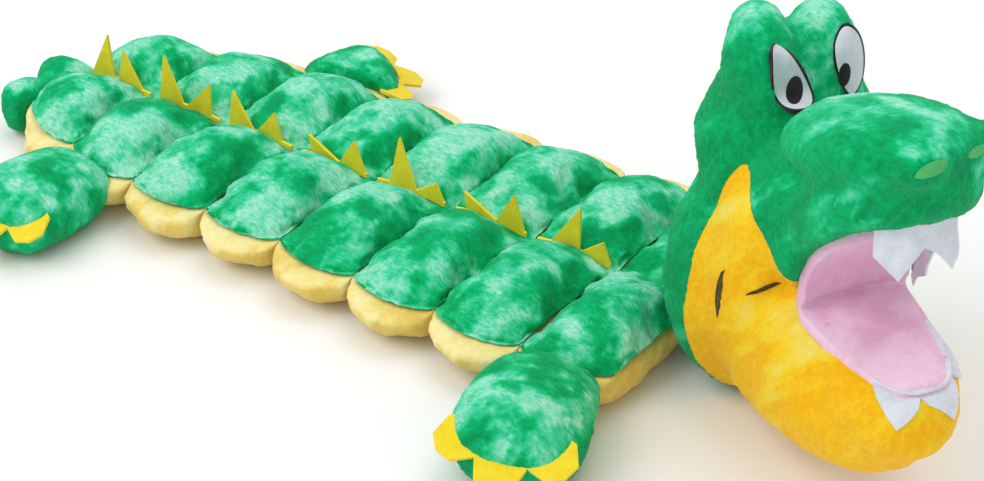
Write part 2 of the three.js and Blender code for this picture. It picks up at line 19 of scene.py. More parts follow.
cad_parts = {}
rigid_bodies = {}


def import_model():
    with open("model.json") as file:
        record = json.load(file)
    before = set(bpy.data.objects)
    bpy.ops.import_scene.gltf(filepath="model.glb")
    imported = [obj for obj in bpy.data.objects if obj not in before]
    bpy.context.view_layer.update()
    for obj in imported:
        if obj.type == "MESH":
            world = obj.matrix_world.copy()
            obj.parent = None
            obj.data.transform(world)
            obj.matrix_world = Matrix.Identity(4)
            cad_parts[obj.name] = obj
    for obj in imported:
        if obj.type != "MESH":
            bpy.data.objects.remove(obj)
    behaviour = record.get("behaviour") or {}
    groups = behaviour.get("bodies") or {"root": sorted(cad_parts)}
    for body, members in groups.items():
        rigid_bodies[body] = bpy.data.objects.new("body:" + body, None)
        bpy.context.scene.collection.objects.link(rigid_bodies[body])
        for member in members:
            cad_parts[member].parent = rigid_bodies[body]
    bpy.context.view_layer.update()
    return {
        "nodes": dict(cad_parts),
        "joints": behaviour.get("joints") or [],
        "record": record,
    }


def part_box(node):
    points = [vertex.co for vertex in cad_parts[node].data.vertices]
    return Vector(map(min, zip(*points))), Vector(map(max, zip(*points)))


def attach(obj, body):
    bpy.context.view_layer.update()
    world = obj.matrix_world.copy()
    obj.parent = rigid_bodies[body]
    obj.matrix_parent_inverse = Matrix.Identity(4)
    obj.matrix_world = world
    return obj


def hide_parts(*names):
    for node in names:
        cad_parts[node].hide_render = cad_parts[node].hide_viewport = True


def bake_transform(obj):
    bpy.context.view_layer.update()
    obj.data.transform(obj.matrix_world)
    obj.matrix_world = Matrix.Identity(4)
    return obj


MM = 0.001
FLOOR_ROOM = 0.3 * MM
LOG = logging.getLogger("plush_alligator")
LIMBS = ("hind_leg_right", "hind_leg_left", "front_leg_right", "front_leg_left", "tail")
FRAME: dict = {}
Form = Callable[[np.ndarray], np.ndarray]


class Face(Enum):
    """The two faces of a quilted row."""

    BACK = 1
    BELLY = -1


def linear(colour: str) -> tuple[float, float, float, float]:
    """Turn an sRGB hex colour into Blender's linear colour.

    Args:
        colour: Six hex digits.

    Returns:
        Red, green, blue and an alpha of 1.
    """
    values = [int(colour[start : start + 2], 16) / 255 for start in (0, 2, 4)]
    red, green, blue = (v / 12.92 if v <= 0.04045 else ((v + 0.055) / 1.055) ** 2.4 for v in values)
    return red, green, blue, 1.0


def add_node(
    tree: bpy.types.NodeTree, kind: str, settings: dict | None = None, links: dict | None = None
) -> bpy.types.Node:
    """Add one shader node.

    Args:
        tree: The material's node tree.
        kind: The node's type name.
        settings: Attribute names, or input names after a colon, with their values.
        links: Input names with the output socket that feeds each.

    Returns:
        The new node.
    """
    node = tree.nodes.new(kind)
    for name, value in (settings or {}).items():
        if name.startswith(":"):
            node.inputs[name[1:]].default_value = value
        else:
            setattr(node, name, value)
    for name, socket in (links or {}).items():
        tree.links.new(socket, node.inputs[name])
    return node


def add_ramp(
    tree: bpy.types.NodeTree, factor: bpy.types.NodeSocket, steps: tuple[float, ...], shades: tuple[str, ...]
) -> bpy.types.NodeSocket:
    """Add a colour ramp.

    Args:
        tree: The material's node tree.
        factor: The socket that picks the colour.
        steps: Where each shade stands, from 0 to 1.
        shades: The sRGB colours.

    Returns:
        The ramp's colour.
    """
    ramp = add_node(tree, "ShaderNodeValToRGB", None, {"Fac": factor})
    elements = ramp.color_ramp.elements
    while len(elements) < len(shades):
        elements.new(0.5)
    for element, step, shade in zip(elements, steps, shades):
        element.position = step
        element.color = linear(shade)
    return ramp.outputs["Color"]


def add_noise(
    tree: bpy.types.NodeTree, place: bpy.types.NodeSocket, width: float, detail: float, **more: float
) -> bpy.types.NodeSocket:
    """Add smooth noise.

    Args:
        tree: The material's node tree.
        place: The coordinates to read it at.
        width: Width of one lump, in metres.
        detail: Rounds of finer noise.
        more: Further inputs by name.

    Returns:
        The noise, from 0 to 1.
    """
    settings = {":Scale": 1 / width, ":Detail": detail} | {f":{name}": value for name, value in more.items()}
    return add_node(tree, "ShaderNodeTexNoise", settings, {"Vector": place}).outputs["Fac"]


def add_range(
    tree: bpy.types.NodeTree, value: bpy.types.NodeSocket, source: tuple[float, float], goal: tuple[float, float]
) -> bpy.types.NodeSocket:
    """Map a value from one range to another.

    Args:
        tree: The material's node tree.
        value: The socket to map.
        source: The range that it is read in.
        goal: The range that it is mapped to.

    Returns:
        The mapped value.
    """
    ends = {":From Min": source[0], ":From Max": source[1], ":To Min": goal[0], ":To Max": goal[1]}
    return add_node(tree, "ShaderNodeMapRange", ends, {"Value": value}).outputs["Result"]


@dataclass
class Shading:
    """A node-based material while it is made.

    Attributes:
        name: The finish's name.
        material: The material.
        tree: Its node tree.
        shader: Its shader node.
        place: The piece's own coordinates, in metres.
    """

    name: str
    material: bpy.types.Material = field(init=False)
    tree: bpy.types.NodeTree = field(init=False)
    shader: bpy.types.Node = field(init=False)
    place: bpy.types.NodeSocket = field(init=False)

    def __post_init__(self) -> None:
        """Start the material."""
        self.material = bpy.data.materials.new(self.name)
        self.material.use_nodes = True
        self.tree = self.material.node_tree
        self.shader = self.tree.nodes["Principled BSDF"]
        self.place = add_node(self.tree, "ShaderNodeTexCoord").outputs["Object"]

    def add_relief(self, height: bpy.types.NodeSocket, strength: float, distance: float) -> None:
        """Give the surface a fine relief.

        Args:
            height: The relief.
            strength: Its strength.
            distance: Its height, in metres.
        """
        bump = add_node(self.tree, "ShaderNodeBump", {":Strength": strength, ":Distance": distance}, {"Height": height})
        self.tree.links.new(bump.outputs["Normal"], self.shader.inputs["Normal"])

    def finish(self, colour: bpy.types.NodeSocket, values: dict) -> bpy.types.Material:
        """Link the colour and set the rest.

        Args:
            colour: The base colour.
            values: The shader's other inputs by name.

        Returns:
            The finished material.
        """
        self.tree.links.new(colour, self.shader.inputs["Base Color"])
        for name, value in values.items():
            self.shader.inputs[name].default_value = value
        return self.material


def activate(piece: bpy.types.Object) -> None:
    """Select one piece alone and make it active.

    Args:
        piece: The piece to work on.
    """
    bpy.ops.object.select_all(action="DESELECT")
    piece.select_set(True)
    bpy.context.view_layer.objects.active = piece


def apply_modifier(piece: bpy.types.Object, kind: str, **settings: object) -> None:
    """Add a modifier to a piece and apply it.

    Args:
        piece: The piece to change.
        kind: The modifier's type.
        settings: The modifier's settings.
    """
    activate(piece)
    modifier = piece.modifiers.new(kind.title(), kind)
    for name, value in settings.items():
        setattr(modifier, name, value)
    bpy.ops.object.modifier_apply(modifier=modifier.name)


def face_out(piece: bpy.types.Object) -> None:
    """Turn all faces of a closed piece outwards.

    Args:
        piece: The piece.
    """
    activate(piece)
    bpy.ops.object.mode_set(mode="EDIT")
    bpy.ops.mesh.select_all(action="SELECT")
    bpy.ops.mesh.normals_make_consistent(inside=False)
    bpy.ops.object.mode_set(mode="OBJECT")


def add_grid(name: str, columns: int, rows: int) -> bpy.types.Object:
    """Add a flat grid from -1 to 1 each way.

    Args:
        name: The piece's name.
        columns: Cells along x.
        rows: Cells along y.

    Returns:
        The new piece.
    """
    bpy.ops.object.select_all(action="DESELECT")
    bpy.ops.mesh.primitive_grid_add(size=2, x_subdivisions=columns, y_subdivisions=rows)
    piece = bpy.context.active_object
    piece.name = name
    return piece


def divide(piece: bpy.types.Object, levels: int) -> None:
    """Divide a piece's faces finely and round them.

    Args:
        piece: The piece.
        levels: Rounds of division.
    """
    apply_modifier(piece, "SUBSURF", levels=levels, render_levels=levels, use_limit_surface=False)


def points_of(piece: bpy.types.Object) -> np.ndarray:
    """Read a piece's vertices.

    Args:
        piece: A mesh piece.

    Returns:
        One row of x, y, z for each vertex.
    """
    points = np.zeros(len(piece.data.vertices) * 3)
    piece.data.vertices.foreach_get("co", points)
    return points.reshape(-1, 3)


def move_points(piece: bpy.types.Object, points: np.ndarray) -> None:
    """Write a piece's vertices back.

    Args:
        piece: A mesh piece.
        points: One row of x, y, z for each vertex.
    """
    piece.data.vertices.foreach_set("co", points.astype(np.float32).ravel())
    piece.data.update()


def normals_of(piece: bpy.types.Object) -> np.ndarray:
    """Read a piece's vertex normals.

    Args:
        piece: A mesh piece.

    Returns:
        One unit normal for each vertex.
    """
    normals = np.zeros(len(piece.data.vertices) * 3)
    piece.data.vertex_normals.foreach_get("vector", normals)
    return normals.reshape(-1, 3)


def cloud(points: np.ndarray, size: float, seed: int) -> np.ndarray:
    """Smooth seeded noise, the same on every run.

    Args:
        points: Where to read the noise, in metres.
        size: The width of one lump, in metres.
        seed: Which of many patterns to read.

    Returns:
        A value from -1 to 1 for each point.
    """
    scaled = points / size + seed * 17.31
    cell = np.floor(scaled).astype(np.int64)
    local = scaled - cell
    local = local * local * (3 - 2 * local)
    total = np.zeros(len(points))
    for corner in itertools.product((0, 1), repeat=3):
        key = cell + np.array(corner)
        mixed = (key[:, 0] * 73856093) ^ (key[:, 1] * 19349663) ^ (key[:, 2] * 83492791) ^ (seed * 668265263)
        mixed = ((mixed ^ (mixed >> 13)) * 1274126177) & 0x7FFFFFFF
        mixed = ((mixed ^ (mixed >> 15)) * 668265263) & 0x7FFFFFFF
        weight = np.prod(np.where(np.array(corner) == 1, local, 1 - local), axis=1)
        total += weight * ((mixed & 0xFFFF) / 32767.5 - 1)
    return total


def swell(share: float, fullness: float) -> float:
    """Rise of a stuffed form between two seams.

    Args:
        share: Place between the seams, from 0 to 1.
        fullness: Less than 1 for steep sides and a broad crown.

    Returns:
        0 at the seams and 1 midway.
    """
    return math.sin(math.pi * min(max(share, 0.0), 1.0)) ** fullness


# Widths of the patches that a hand leaves in brushed pile, with their strengths.
BRUSHED_PATCHES = ((17 * MM, 0.6), (7.5 * MM, 0.32), (3.2 * MM, 0.18))
# How far noise is drawn out along the nap, and how far risen pile leans with it.
NAP_DRAW = 0.72
NAP_LEAN = 0.5


@dataclass(frozen=True)
class Pile:
    """The brushed pile of one plush: how its tufts stand out of the cloth.

    Attributes:
        tuft: Width of one tuft.
        height: How far a tuft stands out.
        clump: Width of a brushed clump of tufts.
        clump_height: How far a clump stands out.
        lump: Width of a lump of stuffing.
        lump_height: How far a lump stands out.
        nap: Direction in which the pile lies.
        pale: Share of the pile that is brushed pale.
        seed: Which noise pattern this plush reads.
    """

    tuft: float = 2.0 * MM
    height: float = 0.75 * MM
    clump: float = 7 * MM
    clump_height: float = 0.7 * MM
    lump: float = 24 * MM
    lump_height: float = 1.4 * MM
    nap: tuple[float, float, float] = (-0.35, 0.0, -0.9)
    pale: float = 0.43
    seed: int = 3

    def raise_on(self, piece: bpy.types.Object, stiff: np.ndarray | None = None) -> None:
        """Push the piece's skin out into lumps, clumps and tufts, and store where it is brushed pale, with a painted
        highlight on faces that look up.

        Args:
            piece: A dense mesh piece.
            stiff: A share for each vertex, 0 where the skin stays as it is.
        """
        points, normals = points_of(piece), normals_of(piece)
        nap = np.array(self.nap) / np.linalg.norm(self.nap)
        combed = points - NAP_DRAW * np.outer(points @ nap, nap)
        lumps = cloud(points, self.lump, self.seed)
        clumps = cloud(combed, self.clump, self.seed + 1)
        tufts = np.abs(cloud(combed, self.tuft, self.seed + 2)) ** 0.8 - 0.4
        rise = lumps * self.lump_height + clumps * self.clump_height + tufts * self.height
        hold = np.ones(len(points)) if stiff is None else stiff
        moved = points + (rise * hold)[:, None] * (normals + nap * NAP_LEAN)
        moved[:, 2] = np.maximum(moved[:, 2], np.minimum(points[:, 2], FLOOR_ROOM))
        move_points(piece, moved)
        patches = sum(cloud(combed, size, self.seed + 3 + n) * part for n, (size, part) in enumerate(BRUSHED_PATCHES))
        # Paleness from the brushed patches, plus a painted highlight that makes faces looking up paler, as if lit from
        # above.
        share = np.clip(self.pale + patches * 1.1 + 0.42 * (normals[:, 2] - 0.42), 0, 1)
        brushed = 0.1 + 0.74 * share * share * (3 - 2 * share) + 0.1 * clumps
        layer = piece.data.attributes.new("brushed", "FLOAT", "POINT")
        layer.data.foreach_set("value", np.clip(brushed, 0, 1).astype(np.float32))


@dataclass(frozen=True)
class Plush:
    """Short polyester plush, brushed this way and that: matt, with a soft bright edge.

    Attributes:
        name: The finish's name.
        shades: sRGB colours from the deep pile seen end on to the pale pile brushed flat; the pale end also paints the
            highlight on faces that look up.
        steps: Where each shade stands between 0 and 1.
        sheen: Colour of the bright edge.
        fleck: Colour between the tufts.
        sheen_weight: Strength of the bright edge.
    """

    name: str
    shades: tuple[str, ...]
    steps: tuple[float, ...]
    sheen: str
    fleck: str
    sheen_weight: float = 0.5

    def make(self) -> bpy.types.Material:
        """Build the material.

        Returns:
            The finished material.
        """
        base = Shading(self.name)
        tree = base.tree
        # The pile lies along the body, so the streaks are drawn out along x and z.
        drawn_out = {":Scale": (0.5, 1.0, 0.4)}
        combed = add_node(tree, "ShaderNodeMapping", drawn_out, {"Vector": base.place}).outputs["Vector"]
        # Tufts of strands show as streaks about 2 mm apart.
        strands = add_noise(tree, combed, 1.9 * MM, 3.0, Roughness=0.6, Distortion=0.5)
        # The stored paleness holds the brushed patches and the painted highlight on faces that look up.
        brushed = add_node(tree, "ShaderNodeAttribute", {"attribute_name": "brushed"}).outputs["Fac"]
        streak = add_range(tree, strands, (0.3, 0.7), (-0.17, 0.17))
        shade = add_node(tree, "ShaderNodeMath", {"operation": "ADD", "use_clamp": True}, {0: brushed, 1: streak})
        # Dark flecks where the backing shows between tufts, about 1 mm apart.
        gaps = add_noise(tree, combed, 1.1 * MM, 2.0, Roughness=0.6)
        fleck = add_range(tree, gaps, (0.62, 0.75), (0.0, 0.35))
        shades = add_ramp(tree, shade.outputs["Value"], self.steps, self.shades)
        colour = add_node(tree, "ShaderNodeMix", {"data_type": "RGBA"}, {0: fleck, 6: shades})
        colour.inputs[7].default_value = linear(self.fleck)
        values = {
            "Roughness": 0.95,
            "Specular IOR Level": 0.15,
            "Sheen Weight": self.sheen_weight,
            "Sheen Roughness": 0.45,
            "Sheen Tint": linear(self.sheen),
        }
        base.add_relief(strands, 0.55, 0.7 * MM)
        return base.finish(colour.outputs[2], values)


@dataclass(frozen=True)
class Felt:
    """Pressed polyester felt: matt, faintly clouded, with a fine tangle of fibres.

    Attributes:
        name: The finish's name.
        pale: sRGB colour of the raised fibres.
        deep: sRGB colour of the hollows.
        cloud_size: Width of the faint clouding.
    """

    name: str
    pale: str
    deep: str
    cloud_size: float = 9 * MM

    def make(self) -> bpy.types.Material:
        """Build the material.

        Returns:
            The finished material.
        """
        base = Shading(self.name)
        clouds = add_noise(base.tree, base.place, self.cloud_size, 6.0, Roughness=0.7)
        colour = add_ramp(base.tree, clouds, (0.32, 0.66), (self.deep, self.pale))
        # Felt fibres are finer than a pixel; drawn about 0.8 mm apart.
        fibres = add_noise(base.tree, base.place, 0.8 * MM, 3.0, Roughness=0.7)
        values = {"Roughness": 0.92, "Specular IOR Level": 0.2, "Sheen Weight": 0.15, "Sheen Roughness": 0.5}
        base.add_relief(fibres, 0.3, 0.25 * MM)
        return base.finish(colour, values)


@dataclass(frozen=True)
class Plastic:
    """Blown polythene of a squeaker: milky and half matt, with a faint grain where it flowed in the mould.

    Attributes:
        name: The finish's name.
        pale: sRGB colour of the thick wall.
        deep: sRGB colour of the thin wall.
        grain: Width of the flow marks.
    """

    name: str
    pale: str
    deep: str
    grain: float = 6 * MM

    def make(self) -> bpy.types.Material:
        """Build the material.

        Returns:
            The finished material.
        """
        base = Shading(self.name)
        flow = add_noise(base.tree, base.place, self.grain, 3.0)
        gloss = add_range(base.tree, flow, (0.0, 1.0), (0.38, 0.52))
        base.tree.links.new(gloss, base.shader.inputs["Roughness"])
        return base.finish(add_ramp(base.tree, flow, (0.0, 1.0), (self.deep, self.pale)), {})


@dataclass
class Finishes:
    """Every finish of the toy, made once."""

    green: Plush = Plush(
        "Green_brushed_plush",
        ("008F50", "00B26C", "48CB9C", "A4E4CB"),
        (0.0, 0.36, 0.66, 1.0),
        sheen="8FE8C4",
        fleck="007A48",
        sheen_weight=0.14,
    )
    belly: Plush = Plush(
        "Pale_yellow_brushed_plush",
        ("DDBE58", "E8CF74", "EDDB8C", "F3E8AE"),
        (0.0, 0.4, 0.65, 1.0),
        sheen="FFF6D0",
        fleck="C9A63E",
        sheen_weight=0.3,
    )
    face: Plush = Plush(
        "Golden_brushed_plush",
        ("F4B40C", "F5CC22", "F2D548", "EFDF7C"),
        (0.0, 0.3, 0.62, 1.0),
        sheen="FFF2B0",
        fleck="EDAE08",
        sheen_weight=0.2,
    )
    mouth: Plush = Plush(
        "Pink_knitted_velour",
        ("E2B0CE", "EABED8", "EFC8DE", "F4D4E6"),
        (0.0, 0.35, 0.65, 1.0),
        sheen="FFE6F6",
        fleck="C58CB2",
        sheen_weight=0.2,
    )
    yellow: Felt = Felt("Yellow_felt", "F3DB32", "E8C81C")
    white: Felt = Felt("White_felt", "E6E9F0", "CDD3DF")
    eye: Felt = Felt("Pale_grey_felt", "D6D9E1", "BFC6CF")
    black: Felt = Felt("Black_felt", "262028", "17131A")
    nostril: Felt = Felt("Leaf_green_felt", "58BE6C", "3FA65A")
    thread: Felt = Felt("Dark_brown_thread", "5A4316", "33260C", 3 * MM)
    plastic: Plastic = Plastic("Milky_blown_polythene", "F0F0EA", "E2E3DC")
    made: dict[str, bpy.types.Material] = field(default_factory=dict)

    def dress(self, piece: bpy.types.Object, finish: Plush | Felt | Plastic) -> None:
        """Give a piece its finish.

        Args:
            piece: The piece.
            finish: One of the finishes.
        """
        if finish.name not in self.made:
            self.made[finish.name] = finish.make()
        piece.data.materials.clear()
        piece.data.materials.append(self.made[finish.name])

    def pad(self, piece: bpy.types.Object, finish: Plush, slot: str, fill: float, nodes: tuple[str, ...]) -> None:
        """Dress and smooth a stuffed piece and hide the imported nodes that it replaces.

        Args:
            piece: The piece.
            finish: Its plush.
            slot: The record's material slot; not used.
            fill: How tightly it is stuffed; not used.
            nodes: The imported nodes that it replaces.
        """
        self.dress(piece, finish)
        activate(piece)
        bpy.ops.object.shade_smooth()
        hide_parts(*nodes)
        LOG.info("%s: %d faces", piece.name, len(piece.data.polygons))


@dataclass(frozen=True)
class Stuffing:
    """How hard a cloth form is stuffed.

    Attributes:
        pressure: Push of the stuffing on the cloth.
        slack: Share by which the cloth is larger than its form, which wrinkles it at the seams.
        cap: The furthest that a point moves.
        frames: Steps of the simulation.
    """

    pressure: float = 4.0
    slack: float = 0.08
    cap: float = 6 * MM
    frames: int = 20

    def fill(self, piece: bpy.types.Object, pinned: list[int]) -> None:
        """Blow the cloth up from inside and keep the result.

        Args:
            piece: A coarse mesh piece.
            pinned: The vertices that the seams hold.
        """
        before = points_of(piece)
        group = piece.vertex_groups.new(name="seams")
        group.add([int(index) for index in pinned], 1.0, "REPLACE")
        activate(piece)
        modifier = piece.modifiers.new("Cloth", "CLOTH")
        cloth = modifier.settings
        cloth.quality = 6
        cloth.mass = 0.2
        cloth.tension_stiffness = 12
        cloth.compression_stiffness = 12
        cloth.shear_stiffness = 6
        cloth.bending_stiffness = 0.4
        cloth.air_damping = 2
        cloth.use_pressure = True
        cloth.uniform_pressure_force = self.pressure
        cloth.shrink_min = -self.slack
        cloth.vertex_group_mass = "seams"
        cloth.effector_weights.gravity = 0
        modifier.collision_settings.use_collision = False
        modifier.point_cache.frame_start = 1
        modifier.point_cache.frame_end = self.frames
        for frame in range(1, self.frames + 1):
            bpy.context.scene.frame_set(frame)
        bpy.ops.object.modifier_apply(modifier=modifier.name)
        bpy.context.scene.frame_set(1)
        shift = points_of(piece) - before
        length = np.linalg.norm(shift, axis=1, keepdims=True)
        move_points(piece, before + shift * np.minimum(1, self.cap / np.maximum(length, 1e-9)))
        piece.vertex_groups.clear()


@dataclass
class QuiltedBody:
    """The long flat body: rows of stuffed pockets between stitched seams; the felt spikes down its spine are the
    imported ones.
    """

    finishes: Finishes
    pitch: float = 60 * MM
    half_width: float = 84 * MM
    width_shares: tuple[float, ...] = (0.52, 0.82, 0.95, 0.95, 0.97, 1.04, 1.06, 1.08, 1)
    bulge: float = 11 * MM
    belly_bulge: float = 12 * MM
    seam_height: float = 29 * MM
    crown: float = 21 * MM
    spine_rise: float = 3 * MM
    skew: float = 10 * MM
    gap: float = 0.4 * MM
    back_fullness: float = 0.55
    belly_fullness: float = 0.28
    along: int = 18
    across: int = 54
    origin: float = 0.0

    def __post_init__(self) -> None:
        """Find the rear seam from the first row's squeakers."""
        (low_l, high_l), (low_r, high_r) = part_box("squeaker_1_left"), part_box("squeaker_1_right")
        self.origin = (low_l.x + high_l.x + low_r.x + high_r.x) / 4 - self.pitch / 2

    def rise_across(self, v: float, crown: float, spine: float, fullness: float) -> float:
        """Height of a pocket pair over the seam plane.

        Args:
            v: Place across, -1 at the right seam and 1 at the left.
            crown: Height over the middle of a pocket.
            spine: Height in the groove between the pockets.
            fullness: Fullness towards the side seam.

        Returns:
            The height.
        """
        side = abs(v)
        if side >= 1:
            return 0.0
        if side < 0.5:
            return spine + (crown - spine) * swell(side, 0.75)
        if crown < self.seam_height:
            skirt = max(0.0, (side - 0.5) * 2)
            return crown * (swell(side, fullness) * (1 - 0.5 * skirt**2.2))
        return crown * swell(side, fullness)

    def point(self, row: int, u: float, v: float, face: Face) -> tuple[float, float, float]:
        """One point of a row's skin.

        Args:
            row: Which row, from 0 at the rear.
            u: Place along the row, from 0 to 1.
            v: Place across it, from -1 to 1.
            face: The back or the belly.

        Returns:
            The point's x, y and z.
        """
        is_back = face is Face.BACK
        fullness = self.back_fullness if is_back else self.belly_fullness
        crown = self.crown if is_back else self.seam_height + 0.5 * MM
        spine = self.spine_rise if is_back else self.seam_height / 2
        rise = swell(u, fullness) * self.rise_across(v, crown, spine, fullness)
        share = self.width_shares[row] + (self.width_shares[row + 1] - self.width_shares[row]) * u
        half = self.half_width * share + self.bulge * swell(u, self.back_fullness)
        if not is_back and abs(v) < 0.999:
            half += self.belly_bulge * swell(u, self.back_fullness)
        x = self.origin + row * self.pitch + self.gap / 2 + u * (self.pitch - self.gap) + v * self.skew
        return x, v * half, max(self.seam_height + face.value * rise, FLOOR_ROOM)

    def build_panel(self, row: int, face: Face) -> None:
        """Sew, stuff and brush one face of a row.

        Args:
            row: Which row, from 0 at the rear.
            face: The back or the belly.
        """
        name = f"row_{row + 1}_{face.name.lower()}"
        piece = add_grid(f"{name}_plush", self.along, self.across)
        bpy.ops.object.mode_set(mode="EDIT")
        bpy.ops.mesh.select_all(action="SELECT")
        bpy.ops.mesh.region_to_loop()
        bpy.ops.mesh.edge_face_add()
        bpy.ops.object.mode_set(mode="OBJECT")
        grid = points_of(piece)
        u = (1 - np.cos(np.pi * (grid[:, 0] + 1) / 2)) / 2
        v = np.sign(grid[:, 1]) * (1 - np.cos(np.pi * np.abs(grid[:, 1]))) / 2
        move_points(piece, np.array([self.point(row, a, b, face) for a, b in zip(u, v)]))
        face_out(piece)
        edge = (u < 1e-6) | (u > 1 - 1e-6) | (np.abs(v) > 1 - 1e-6) | (np.abs(v) < 1e-6)
        Stuffing(pressure=5.0, slack=0.1, cap=5 * MM).fill(piece, list(np.nonzero(edge)[0]))
        self.keep_in_row(piece, face, row, v)
        divide(piece, 2)
        self.gather(piece, row, face)
        hold = np.clip(np.abs(points_of(piece)[:, 2] - self.seam_height) / (4 * MM), 0, 1)
        seed = 11 + row * 7
        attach(piece, f"row_{row + 1}")
        if face is Face.BACK:
            Pile(seed=seed).raise_on(piece, hold)
            self.finishes.pad(piece, self.finishes.green, "green_plush", 0.7, (name,))
        else:
            Pile(seed=seed + 60, tuft=2.4 * MM, height=0.5 * MM, lump_height=1.0 * MM).raise_on(piece, hold)
            self.finishes.pad(piece, self.finishes.belly, "belly_plush", 0.7, (name,))

    def gather(self, piece: bpy.types.Object, row: int, face: Face) -> None:
        """Draw the cloth into folds where the seams gather it.

        Args:
            piece: The panel, already finely divided.
            row: Which row it belongs to.
            face: The back or the belly.
        """
        points, normals = points_of(piece), normals_of(piece)
        half = self.half_width * (self.width_shares[row] + self.width_shares[row + 1]) / 2 + self.bulge
        slant = points[:, 0] - self.origin - row * self.pitch - points[:, 1] / half * self.skew
        to_row = np.minimum(slant, self.pitch - slant)
        to_side = half - np.abs(points[:, 1])
        seed = 400 + row * 5 + face.value
        across = points * np.array([0.22, 1, 0.3])
        along = points * np.array([1, 0.25, 0.3])
        folds = cloud(across, 8 * MM, seed) * np.exp(-np.maximum(to_row, 0) / (13 * MM))
        folds += 1.2 * cloud(along, 9 * MM, seed + 1) * np.exp(-np.maximum(to_side, 0) / (16 * MM))
        folds += 0.5 * cloud(points, 21 * MM, seed + 2)
        hold = np.clip(np.abs(points[:, 2] - self.seam_height) / (6 * MM), 0, 1)
        shift = folds * hold * (2.6 * MM if face is Face.BACK else 1.2 * MM)
        moved = points + shift[:, None] * normals
        low = self.seam_height if face is Face.BACK else FLOOR_ROOM
        moved[:, 2] = np.clip(moved[:, 2], low, self.seam_height if face is Face.BELLY else 1.0)
        move_points(piece, moved)

    def keep_in_row(self, piece: bpy.types.Object, face: Face, row: int, v: np.ndarray) -> None:
        """Hold a stuffed panel between its own seams and off the floor.

        Args:
            piece: The panel.
            face: The back or the belly.
            row: Which row it belongs to.
            v: Place across the row of each vertex.
        """
        points = points_of(piece)
        rear = self.origin + row * self.pitch + self.gap / 2 + v * self.skew
        points[:, 0] = np.clip(points[:, 0], rear, rear + self.pitch - self.gap)
        if face is Face.BACK:
            points[:, 2] = np.maximum(points[:, 2], self.seam_height)
        else:
            points[:, 2] = np.clip(points[:, 2], 0.4 * MM, self.seam_height)
        move_points(piece, points)

    def build(self) -> None:
        """Make every row."""
        for row in range(8):
            for face in Face:
                self.build_panel(row, face)


@dataclass
class StuffedForms:
    """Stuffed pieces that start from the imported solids: legs, tail, neck and the head's panels."""

    finishes: Finishes
    voxel: float = 4 * MM

    def copy_node(self, name: str, node: str) -> bpy.types.Object:
        """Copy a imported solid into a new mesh.

        Args:
            name: The new piece's name.
            node: The node to copy.

        Returns:
            The new piece.
        """
        piece = bpy.data.objects.new(name, bpy.data.objects[node].data.copy())
        bpy.context.scene.collection.objects.link(piece)
        activate(piece)
        bpy.ops.object.mode_set(mode="EDIT")
        bpy.ops.mesh.select_all(action="SELECT")
        bpy.ops.mesh.remove_doubles(threshold=0.01 * MM)
        bpy.ops.object.mode_set(mode="OBJECT")
        return piece

    def soften(self, piece: bpy.types.Object, voxel: float, rounds: int) -> None:
        """Remesh a piece evenly and round its edges.

        Args:
            piece: The piece.
            voxel: The new mesh's spacing.
            rounds: How many smoothing rounds.
        """
        apply_modifier(piece, "REMESH", mode="VOXEL", voxel_size=voxel, adaptivity=0.0)
        apply_modifier(piece, "SMOOTH", factor=0.5, iterations=rounds)

    def build_limb(self, node: str, pile: Pile) -> None:
        """Make a leg or the tail.

        Args:
            node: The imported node, which has its body's name.
            pile: How its pile stands.
        """
        piece = self.copy_node(f"{node}_plush", node)
        self.soften(piece, self.voxel, 4)
        Stuffing(pressure=3.0, slack=0.06, cap=3 * MM).fill(piece, self.resting(piece))
        divide(piece, 2)
        pile.raise_on(piece)
        self.finishes.pad(piece, self.finishes.green, "green_plush", 0.7, (node,))
        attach(piece, node)

    def resting(self, piece: bpy.types.Object) -> list[int]:
        """Find the points that the floor holds.

        Args:
            piece: The piece.

        Returns:
            Their indices.
        """
        return list(np.nonzero(points_of(piece)[:, 2] < 2.5 * MM)[0])

    def build(self) -> None:
        """Make every stuffed limb and the neck."""
        for number, node in enumerate(LIMBS):
            self.build_limb(node, Pile(seed=150 + number * 9, pale=0.34))
        neck = self.copy_node("neck_plush", "neck")
        self.soften(neck, self.voxel, 4)
        divide(neck, 1)
        Pile(seed=201, lump_height=0).raise_on(neck)
        self.finishes.pad(neck, self.finishes.green, "green_plush", 0.8, ("neck",))
        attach(neck, "neck")


@dataclass(frozen=True)
class Ball:
    """One stuffed form of the head, in millimetres in the head's own frame.

    Attributes:
        at: How far forward, left and up its middle is.
        radii: Its three half sizes.
        tilt: How far its front is raised, in radians.
    """

    at: tuple[float, float, float]
    radii: tuple[float, float, float]
    tilt: float = 0.0


SKULL = (
    Ball((20, 2, 163), (46, 50, 62)),
    Ball((28, 14, 216), (25, 20, 35), 0.1),
    Ball((28, -23, 220), (25, 19, 38), 0.1),
    Ball((118, -6.5, 222), (66, 42, 22), 0.42),
    Ball((120, 0, 186), (76, 43, 30), 0.8),
    Ball((72, 0, 166), (46, 42, 36), 0.3),
    Ball((95, 0, 147), (30, 41, 36)),
    Ball((171, -17, 240), (13, 15, 12)),
    Ball((160, 27, 236), (13, 12, 13)),
)
THROAT = (
    Ball((16, 0, 82), (50, 60, 85), -0.12),
    Ball((82, 0, 68), (98, 47, 55), 0.15),
    Ball((140, 0, 88), (50, 36, 38), -0.02),
    Ball((50, -35, 108), (28, 18, 66), -0.25),
    Ball((50, 35, 108), (28, 18, 66), -0.25),
)
NECK_ROOM = Ball((0, 0, 41.5), (45, 45, 45))
# Millimetres from the head's middle to beyond its side.
HEAD_SIDE = 90
